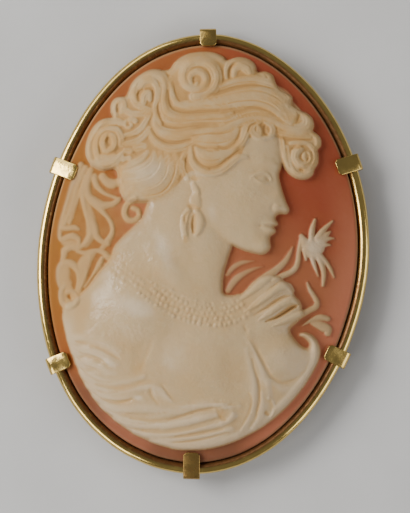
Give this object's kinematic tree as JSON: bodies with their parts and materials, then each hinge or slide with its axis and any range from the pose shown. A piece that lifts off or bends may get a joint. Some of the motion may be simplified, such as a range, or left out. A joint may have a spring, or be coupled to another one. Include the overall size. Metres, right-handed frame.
{
  "type": "claw-set oval shell cameo brooch",
  "caption": "Oval carved shell cameo with a bust in relief, held by claws in a round gold wire frame with a pin across its back; fastens to cloth.",
  "frame": {"origin": "under the middle of the oval frame, at the height of the pin fittings' feet", "axes": "+Z out of the carved face, +Y along the oval's long axis towards the top of the carving, +X to the right of the carving"},
  "size_m": [0.04, 0.0542, 0.0084],
  "materials": {
    "carved_shell": "polished shell, cream relief on a brown-red to orange ground",
    "gold_setting": "polished yellow gold",
    "gold_pin": "satin yellow gold"
  },
  "bodies": {
    "root": {"cameo_shell": "carved_shell", "setting": "gold_setting", "pin_stem": "gold_pin"}
  },
  "joints": []
}
